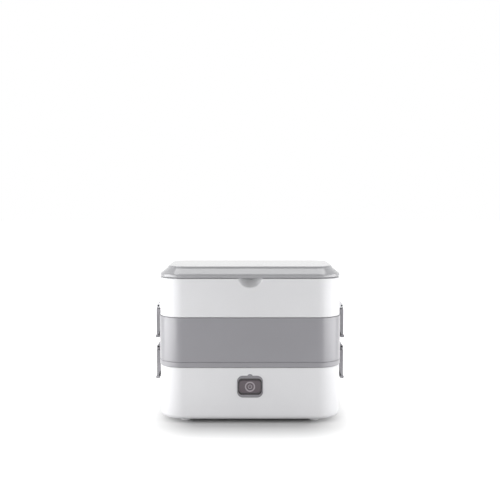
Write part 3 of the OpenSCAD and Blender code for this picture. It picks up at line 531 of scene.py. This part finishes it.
# Translucent grey acrylic of the light ring and the on/off mark, matt and unlit.
ring_acrylic = moulded("light_ring_acrylic", "#9A9298", "#9E969C", 0.35, ior=1.49)
ring_r, ring_w, ring_t = 5.7, 1.7, 0.12
mark_r, mark_w, mark_t, mark_top = 2.35, 0.9, 0.1, 3.3
y_mark = y_key + 0.02
marks = [band(arc_points(ring_r, 0, 360, 65)[:-1], ring_w, ring_t, switch_z, y_mark, True),
         band(arc_points(mark_r, 130, 410, 33), mark_w, mark_t, switch_z, y_mark, False),
         band([(0, 0.4), (0, mark_top)], mark_w, mark_t, switch_z, y_mark, False)]
ring = piece("key_light_ring", marks, ring_acrylic, "power_key")

# Smoked acrylic: glossy, and a mid grey while the lamp behind it is off.
smoke = moulded("smoked_acrylic", "#85858A", "#87878C", 0.12, ior=1.49, relief=0.002)
lens_r, lens_low, lens_top = 3.9, height("indicator_lens", 0), height("indicator_lens", 1)
lens_z = lens_top - lens_r
horn = math.degrees(math.asin((lens_low - lens_z)/lens_r))
moon = arc_points(lens_r, horn, 180 - horn, 21) + [0, lens_z]
lens = piece("indicator_window", [prism(moon, front - 0.4, front + 1.3)], smoke,
             "base", "indicator_lens", edge=0.15)

# Black PBT of the switch body: dark and even, with a dull shine.
pbt = moulded("black_pbt", "#262628", "#2D2D2F", 0.42, relief=0.02)
repaint(pbt, "switch_body")
# Green solder mask on glass laminate: glossy, with a slight ripple.
mask = moulded("solder_mask_board", "#1E5B3A", "#246743", 0.3, grain=1.2, relief=0.02, coat=0.3)
repaint(mask, "switch_board")

# ---- Wiring ----
# Four leads with red silicone insulation run from the inlet to the block, the thermostat and
# the switch. Silicone is soft to the eye: matt, with a faint bloom.
silicone_lead = moulded("red_lead_silicone", "#8E2A24", "#9A322B", 0.5, grain=0.3, relief=0.01)
repaint(silicone_lead, "wiring")

# ---- Tier ----
# The grey steaming tier: the same box without a floor, a little prouder than the white parts,
# with a fine groove near its foot. Its spigot drops into the base, and it has an ear at each
# end of both lower clip pins.

# Grey ABS, semi-gloss: the sides pick up the light, the front stays an even mid grey.
tier_abs = moulded("tier_grey_abs", "#838287", "#858489", 0.36, coat=1.0, coat_rough=0.3)
z_cover = height("cover_shell", 0) + spigot_h - seam
proud = 0.8
tier_w, tier_d, tier_r = body_w + 2*proud, body_d + 2*proud, corner_r + proud
tier_wall = wall + proud
spigot_t, spigot_gap, spigot_up = 2, 0.4, 2


def spigot(face, z0):
    """The foot of a shell, from its rim inwards: down a spigot with the seal's groove round it,
    and up its inside to the wall. Insets and heights in millimetres."""
    seat, seal_top, seal_low = face + 1, z0 - 2.4, z0 - 4.6
    return [(face, z0, 0.2), (face, seal_top, 0), (seat, seal_top, 0), (seat, seal_low, 0),
            (face, seal_low, 0), (face, z0 - spigot_h, 0.5),
            (face + spigot_t, z0 - spigot_h, 0.5), (face + spigot_t, z0 + spigot_up, 0.5)]


z_deck, lip = height("steam_deck", 0), 3
zt = z_tier + seam
groove_low, groove_z, groove_top, groove_d = z_tier + 6.4, z_tier + 7.1, z_tier + 7.8, 0.7
tier_outline = rounded(
    [(0, zt, rim_r)] + spigot(tier_wall + spigot_gap, zt)
    + [(tier_wall, zt + 4.4, 0.5), (tier_wall, z_deck - 4, 0.3),
       (tier_wall + lip, z_deck - 1, 0.3), (tier_wall + lip, z_deck, 0.3),
       (tier_wall, z_deck, 0.3), (tier_wall, z_cover, 0.3), (0, z_cover, rim_r),
       (0, groove_top, 0.12), (groove_d, groove_z, 0.08), (0, groove_low, 0.12)])

ear_r, ear_y, ear_t = 2.6, 18.5, 3


def clip_ears(wall_x, pin_z):
    """The two ears at the ends of a clip pin, each a disc round the pin that runs into the wall
    with a gusset above."""
    reach = pin_x - wall_x
    a = np.radians(np.linspace(-90, 56, 14))
    outline = np.vstack([[-reach - root, reach + ear_r], [-reach - root, -ear_r],
                         np.stack([ear_r*np.cos(a), ear_r*np.sin(a)], 1),
                         [-reach, reach + ear_r]])
    return [prism(outline + [pin_x, pin_z], s*ear_y - ear_t/2, s*ear_y + ear_t/2)
            for s in (-1, 1)]


upper_pin_z = middle("clip_pin_upper_right", 2)
tier_side = [clip_lug(tier_w/2, upper_pin_z)] + clip_ears(tier_w/2, lower_pin_z)
tier = piece("steamer_tier", [carried(box_path(tier_w, tier_d, tier_r), tier_outline)]
             + tier_side + [mirrored(p) for p in tier_side], tier_abs, "tier", "tier_shell")

# The deck is a separate plate that lies on the tier's lip: grey polypropylene, paler and
# waxier than the ABS round it.
deck_pp = moulded("deck_polypropylene", "#A09FA3", "#A5A4A8", 0.42, grain=0.7, relief=0.02)
repaint(deck_pp, "steam_deck")
# Milky silicone rubber of the seal rings.
seal_rubber = moulded("milky_silicone", "#DADADA", "#E0E0E0", 0.55, relief=0.01, ior=1.42)
repaint(seal_rubber, "tier_seal")

# ---- Cover ----
# The white cover closes the tier. Its ceiling is the floor of a cutlery tray, open at the top,
# and a round hollow under the lid's front edge lets a finger lift the lid. Two knuckles stand
# on its rear rim, and five slots behind let steam out.

z_lid = height("lid", 0) - seam
zc = z_cover + seam
ceiling, ceiling_t = height("bowl_lid_upper_left", 1) + 2, 2
vent_step, vent_w, vent_low, vent_top = 9, 2.5, ceiling - 11, ceiling - 3
vents = [k*vent_step + s*vent_w/2 for k in range(-2, 3) for s in (-1, 1)]
cover_outline = rounded(
    [(wall + 6, ceiling + ceiling_t, 0), (wall, ceiling + ceiling_t, 2.5), (wall, z_lid, 0.3),
     (0, z_lid, rim_r), (0, vent_top, 0), (0, vent_low, 0), (0, zc, rim_r)]
    + spigot(wall + spigot_gap, zc)
    + [(wall, zc + 4.4, 0.5), (wall, vent_low, 0), (wall, vent_top, 0), (wall, ceiling, 1.5),
       (wall + 6, ceiling, 0)])
cover_path = box_path(body_w, body_d, corner_r, rear=vents)
# here the outer face runs down and the inner face up
cover_holes = [(at_path(cover_path, x, body_d/2), at_section(cover_outline, 0, vent_top),
                at_section(cover_outline, wall, vent_low)) for x in vents[1::2]]
cover_side = clip_ears(body_w/2, upper_pin_z)

# a knuckle is round above the rim, and its foot is sunk in the rear wall
knuckle_x, knuckle_l, knuckle_r, knuckle_foot = 64, 12, 2.4, z_lid - 10
hinge_y, hinge_z = body_d/2 - knuckle_r, z_lid + seam + knuckle_r
a = np.radians(np.linspace(180, 0, 13))
knuckle_outline = np.vstack([
    [-knuckle_r, knuckle_foot],
    np.stack([knuckle_r*np.cos(a), hinge_z + knuckle_r*np.sin(a)], 1),
    [knuckle_r, z_lid - 0.7], [2.2, z_lid - 0.9], [2.2, knuckle_foot]])
knuckles = []
for x in (-knuckle_x, knuckle_x):
    p, f = prism(knuckle_outline, x - knuckle_l/2, x + knuckle_l/2)
    knuckles.append((np.stack([p[:, 1], hinge_y + p[:, 0], p[:, 2]], 1), f))

# The finger hollow is part of a ball. Its rim is rounded, and behind it the wall follows a
# larger ball; both are turned about an axis that runs from front to back.
scoop_r, scoop_d, scoop_z, scoop_wall, lip_r = 18.0, 12.0, z_lid + 5.5, 1.8, 2.6


def scoop(profile):
    """A profile of (radius, depth behind the front) turned about the hollow's axis."""
    p, f = carried(round_path(0, 0, 96), profile, ring=False, ends=True)
    return np.stack([p[:, 0], front + p[:, 2], scoop_z + p[:, 1]], 1), f


def ball(r, start):
    """Profile of a ball of radius r about the hollow's middle, from this depth to its far end:
    radius r cos a at depth r sin a from the middle."""
    a = np.linspace(math.asin((start - scoop_d + scoop_r)/r), math.radians(88.5), 13)
    return [(r*math.cos(t), scoop_d - scoop_r + r*math.sin(t), 0) for t in a]


# The cutter stands out of the front and flares into the rim's rounding. The backing is what
# the larger ball and a block behind the wall, between the ceiling and the rim, have in common.
axis_r, cutter_r, cutter_out, skim = 0.5, 26, -3, -0.03
inside = ball(scoop_r, 0)
hollow = scoop(rounded([(axis_r, cutter_out, 0), (cutter_r, cutter_out, 0), (cutter_r, skim, 0),
                        (inside[0][0], skim, lip_r)] + inside[2:], step=10))
outside = [(axis_r, cutter_out)] + [q[:2] for q in ball(scoop_r + scoop_wall, -1)]
block_x, block_low, block_back = 27, ceiling + 1, front + wall + 12
block = prism([(-block_x, block_low), (block_x, block_low), (block_x, z_lid), (-block_x, z_lid)],
              front + wall - root, block_back)
backing = worked(block, ("INTERSECT", scoop(outside)))
cover_wall = worked(carried(cover_path, cover_outline, ring=False, ends=True,
                            holes=cover_holes),
                    ("UNION", backing), ("DIFFERENCE", hollow))
cover = piece("cover_housing", [cover_wall], white_abs, "cover", "cover_shell")
hinge = piece("cover_hinge", knuckles + cover_side + [mirrored(p) for p in cover_side],
              white_abs, "cover")
repaint(seal_rubber, "cover_seal")

# ---- Side clips ----
# Four grey clips, each a plate that turns on a steel pin between the ears above it and snaps
# its hook under the lug below. A thick lip along the foot gives a finger its hold.

# The clips are acetal: slick, a touch lighter than the tier.
clip_pom = moulded("clip_grey_acetal", "#8E8D91", "#929195", 0.3, ior=1.48)
# Ground stainless pins: bright, with lines too fine to see.
pin_steel = metal("ground_pin_steel", "#C4C4C2", "#B0B0AE", 0.18, grain=(0.05, 0.05))
clip_w, clip_drop, clip_lip, clip_play = 40, 42.5, 1.2, 0.35
knuckle_w, hook_w, cheek_y, cheek_t = 33.2, 24, 19, 2
# how far in from the pin the hook and the cheeks reach
hook_x, cheek_x = -2.4, -2.2


def clip_parts(pin_z):
    """A clip about its pin: the knuckle, the plate with the lip at its foot, a cheek at each
    end, and the hook, whose face falls outwards at 60 degrees, clear of the lug by the play."""
    r, inner, low = ear_r, 0.6, -clip_drop + 3
    a = np.radians(np.linspace(0, 270, 28))
    knuckle = np.vstack([[r, -5.2], np.stack([r*np.cos(a), r*np.sin(a)], 1), [inner, -r],
                         [inner, -5.2]])
    plate = [(inner, -4.2), (r, -4.2), (r, low + clip_lip), (r + clip_lip, low),
             (r + clip_lip, -clip_drop), (-clip_lip, -clip_drop), (-clip_lip, low), (inner, low)]
    rooted = inner + root
    cheek = [(cheek_x, -4.2), (rooted, -4.2), (rooted, low - 0.5), (inner, low - 0.5),
             (cheek_x, low + 8)]
    face = lambda x: (-(pin_drop + clip_play/math.cos(hook_fall))
                      + (x + hook_in)*math.tan(hook_fall))
    hook = [(rooted, face(rooted)), (hook_x, face(hook_x)), (hook_x, face(hook_x) - 1),
            (rooted, face(hook_x) - 4)]
    at = lambda o: np.asarray(o, float) + [pin_x, pin_z]
    return [prism(at(rounded([(x, y, 0.4) for x, y in plate], step=30)), -clip_w/2, clip_w/2),
            prism(at(knuckle), -knuckle_w/2, knuckle_w/2), prism(at(hook), -hook_w/2, hook_w/2)
            ] + [prism(at(cheek), s*cheek_y - cheek_t/2, s*cheek_y + cheek_t/2)
                 for s in (-1, 1)]


for level, pin_z in (("lower", lower_pin_z), ("upper", upper_pin_z)):
    for side in ("left", "right"):
        parts = clip_parts(pin_z)
        if side == "left":
            parts = [mirrored(p) for p in parts]
        node = "clip_%s_%s" % (level, side)
        clip = piece(node + "_latch", parts, clip_pom, node, node, edge=0.35)
        repaint(pin_steel, "clip_pin_%s_%s" % (level, side))

# ---- Lid ----
# The grey lid over the cutlery tray turns on two steel pins at the rear. A slope runs round
# it, with a steep step up to the flat top.

# The lid's ABS is paler and glossier: its flat top mirrors the light behind it.
lid_abs = moulded("lid_grey_abs", "#9A9A9D", "#9C9C9F", 0.22, relief=0.008, coat=1.0,
                  coat_rough=0.1)
z0, top, lid_t = z_lid + seam, height("lid", 1), 2.2
# The skirt rises to the shoulder, and the slope from there to the step. Both faces of the
# slope are given as insets: (at the shoulder, at its top).
shoulder, step_z = z0 + 5.6, top - 2.9
slope_out, slope_in, flat_from = (1.7, 9.7), (5, 12.8), 14.7
# where the roof of the slots for the knuckles meets the two faces
slot_z = z0 + 6.2
slot_out = np.interp(slot_z, (shoulder, step_z), slope_out)
slot_in = np.interp(slot_z, (shoulder, top - lid_t), slope_in)
lid_outline = rounded(
    [(flat_from, top - lid_t, 0), (slope_in[1], top - lid_t, 0.6), (slot_in, slot_z, 0),
     (slope_in[0], shoulder, 0.6), (slope_in[0], z0, 0.3), (0, z0, 2.4), (0, z0 + 3.2, 0),
     (0.5, z0 + 4.5, 0), (slope_out[0], shoulder, 0), (slot_out, slot_z, 0),
     (slope_out[1], step_z, 0.3), (10.8, top - 0.6, 0.5), (11.7, top, 0.5),
     (flat_from, top, 0)], step=12)
slot_play = 0.4
slots = sorted(s*knuckle_x + e*(knuckle_l/2 + slot_play) for s in (-1, 1) for e in (-1, 1))
lid_path = box_path(body_w, body_d, corner_r, rear=slots)
lid_notches = [(at_path(lid_path, x, body_d/2), at_section(lid_outline, slot_in, slot_z),
                at_section(lid_outline, slot_out, slot_z)) for x in slots[1::2]]
lid = piece("tray_lid", [carried(lid_path, lid_outline, ring=False, ends=True,
                                 notches=lid_notches)], lid_abs, "lid", "lid", sharp=24)
repaint(pin_steel, "lid_pin_left", "lid_pin_right")

# ---- Bowls ----
# Four bowls pressed from stainless sheet with a rolled rim, two on the pan and two on the
# deck. Each has a white polypropylene lid with a raised edge and a silicone ring in its plug.

# Polished inside and out: a bright mirror with faint rings from the polishing wheel.
mirror_steel = metal("polished_stainless", "#BDBCBA", "#B2B1AF", 0.09, grain=(0.2, 0.2),
                     spread=0.02)
# Frosted white polypropylene: milky, with a soft sheen.
bowl_pp = moulded("frosted_white_pp", "#E6E6E7", "#EAEAEB", 0.4, grain=0.6, relief=0.01)
# The wall leans out from the foot to the rim. The floor inside the foot ring is dished up.
bowl_h, rim, sheet, dish = 57, bowl_r - 1, 0.8, 0.6
foot_out = rim - 2
ring_in, floor_in = foot_out - 12.6, foot_out - 20
cap_r, plug_r, skirt = bowl_r + 6, bowl_r - 3.5, 2
for level in ("lower", "upper"):
    for side, sx in (("left", -1), ("right", 1)):
        node = "bowl_%s_%s" % (level, side)
        z = height(node, 0)
        brim, around = z + bowl_h, round_path(sx*bowl_x, 0, 96)
        section = rounded(
            [(floor_in, z + dish, 0), (foot_out - 16, z + dish, 0.5), (ring_in, z, 2),
             (foot_out, z, 12), (rim - 0.4, brim - 2.4, 0.3), (bowl_r, brim - 2.2, 0.5),
             (bowl_r, brim, 0.9), (rim - 0.2 - sheet, brim, 0.8),
             (rim - 0.4 - sheet, brim - 2.4, 0.3), (foot_out - sheet, z + sheet, 11.2),
             (ring_in, z + sheet, 2), (foot_out - 16.2, z + sheet + dish, 0.5),
             (floor_in, z + sheet + dish, 0)], step=12)
        bowl = piece("steel_" + node, [carried(around, section, ring=False, ends=True)],
                     mirror_steel, node, node)
        crown, seat, plug_low, inner_r = brim + 5, brim + 0.3, brim - 5, bowl_r + 0.5
        cap = rounded(
            [(plug_r - 4, crown - 3.2, 0), (plug_r - 2, crown - 3.2, 0.5),
             (plug_r - 2, plug_low, 0.3), (plug_r, plug_low, 0.3), (plug_r, seat, 0.3),
             (inner_r, seat, 0.3), (inner_r, crown - 2.1, 0.3),
             (cap_r - skirt, crown - 2.1, 0.5), (cap_r - skirt, crown - 8, 0.3),
             (cap_r, crown - 8, 0.5), (cap_r, crown, 1.6), (plug_r - 0.5, crown, 0.5),
             (plug_r - 1.9, crown - 1.2, 0.6), (plug_r - 8, crown - 1.2, 0)], step=15)
        lid_node = "bowl_lid_%s_%s" % (level, side)
        bowl_lid = piece("bowl_cap_%s_%s" % (level, side),
                         [carried(around, cap, ring=False, ends=True)], bowl_pp,
                         lid_node, lid_node)
        repaint(seal_rubber, "bowl_seal_%s_%s" % (level, side))

# ---- Floor, light and camera ----
# A white sweep under soft boxes, as for a catalogue picture. The camera stands a metre in
# front of the box, a little above it, tilted down slightly.


def seen(tree):
    """1 for a ray from the camera, a gloss or through glass, and 0 for one that only lights:
    the greatest of Light Path's three values."""
    ray = add(tree, "ShaderNodeLightPath").outputs
    value = ray["Is Camera Ray"]
    for kind in ("Is Glossy Ray", "Is Transmission Ray"):
        value = add(tree, "ShaderNodeMath", {0: value, 1: ray[kind]},
                    operation="MAXIMUM").outputs["Value"]
    return value


# Matt grey card that shows pure white far from the box by a painted glow, seen only by the
# camera. The glow grows with the distance from a rectangle of this half size under the box,
# between these two distances, so the darkening round the box is partly the object's real shadow
# and partly painted shade where the glow fades out.
sweep, t = blank("card_with_painted_glow")
place = add(t, "ShaderNodeTexCoord").outputs["Object"]
half_size, glow_from, glow_full = (0.06, 0.06, 0), 0.014, 0.13
away = add(t, "ShaderNodeVectorMath", {0: place}, operation="ABSOLUTE")
away = add(t, "ShaderNodeVectorMath", {0: away.outputs["Vector"], 1: half_size},
           operation="SUBTRACT")
away = add(t, "ShaderNodeVectorMath", {0: away.outputs["Vector"], 1: (0, 0, 0)},
           operation="MAXIMUM")
away = add(t, "ShaderNodeVectorMath", {0: away.outputs["Vector"]}, operation="LENGTH")
far = add(t, "ShaderNodeMapRange", {"Value": away.outputs["Value"], "From Min": glow_from,
                                    "From Max": glow_full, "To Min": 0.0, "To Max": 1.0})
glow = add(t, "ShaderNodeMath", {0: seen(t), 1: far.outputs["Result"]}, operation="MULTIPLY")
# the fibres of the card are 3 mm apart, coarser than real, and 0.1 mm deep
fibre = add(t, "ShaderNodeTexNoise", {"Vector": place, "Scale": 1/0.003})
bump = add(t, "ShaderNodeBump", {"Height": fibre.outputs["Fac"], "Strength": 0.05,
                                 "Distance": 0.0001})
card = add(t, "ShaderNodeBsdfPrincipled", {
    "Base Color": linear("#BEBEBE"), "Roughness": 0.9, "Emission Color": (1, 1, 1, 1),
    "Emission Strength": glow.outputs["Value"], "Normal": bump.outputs["Normal"]})
add(t, "ShaderNodeOutputMaterial", {"Surface": card.outputs["BSDF"]})
floor_mesh = bpy.data.meshes.new("floor")
floor_mesh.from_pydata([(-6, -3, 0), (6, -3, 0), (6, 9, 0), (-6, 9, 0)], [], [(0, 1, 2, 3)])
floor_mesh.materials.append(sweep)
floor = bpy.data.objects.new("floor", floor_mesh)
bpy.context.scene.collection.objects.link(floor)

# The room's own light falls mostly from above: its strength rises with the sine of the height.
world = bpy.data.worlds.new("studio")
world.use_nodes = True
bpy.context.scene.world = world
t = world.node_tree
t.nodes.clear()
low_light, top_light, white = 0.27, 0.44, 1.0
up = add(t, "ShaderNodeSeparateXYZ",
         {"Vector": add(t, "ShaderNodeTexCoord").outputs["Generated"]})
sky = add(t, "ShaderNodeMapRange", {"Value": up.outputs["Z"], "From Min": 0.0,
                                    "From Max": 1.0, "To Min": low_light, "To Max": top_light})
room = add(t, "ShaderNodeBackground", {"Color": (1, 1, 1, 1),
                                       "Strength": sky.outputs["Result"]})
backdrop = add(t, "ShaderNodeBackground", {"Color": (1, 1, 1, 1), "Strength": white})
mix = add(t, "ShaderNodeMixShader", {0: seen(t), 1: room.outputs["Background"],
                                     2: backdrop.outputs["Background"]})
add(t, "ShaderNodeOutputWorld", {"Surface": mix.outputs["Shader"]})


def soft_box(name, width, tall, power, place, aim):
    """A soft box: an area lamp that looks from its place at its aim."""
    lamp = bpy.data.lights.new(name, "AREA")
    lamp.shape, lamp.size, lamp.size_y, lamp.energy = "RECTANGLE", width, tall, power
    o = bpy.data.objects.new(name, lamp)
    bpy.context.scene.collection.objects.link(o)
    o.location = place
    o.rotation_euler = (Vector(aim) - Vector(place)).to_track_quat("-Z", "Y").to_euler()
    o.visible_camera = False


soft_box("soft_box_left", 0.5, 0.34, 2.0, (-0.42, -0.2, 0.17), (0, -0.12, 0.11))
soft_box("soft_box_right", 0.5, 0.34, 1.6, (0.42, -0.2, 0.17), (0, -0.12, 0.11))
soft_box("soft_box_top", 1.2, 0.8, 7.0, (0, 0.4, 1.3), (0, 0, 0.1))

# the focal length in pixels of a picture this wide, and the tilt in degrees
focal, picture, tilt = 790.87, 500, 3.67
camera = bpy.data.cameras.new("camera")
camera.sensor_width, camera.lens = 36, focal/picture*36
camera.clip_start, camera.clip_end = 0.05, 30
eye = bpy.data.objects.new("camera", camera)
bpy.context.scene.collection.objects.link(eye)
eye.location = (0, -1.0625, 0.28774)
eye.rotation_euler = (math.radians(90 - tilt), 0, 0)
bpy.context.scene.camera = eye

bpy.context.scene.view_settings.view_transform = "Standard"
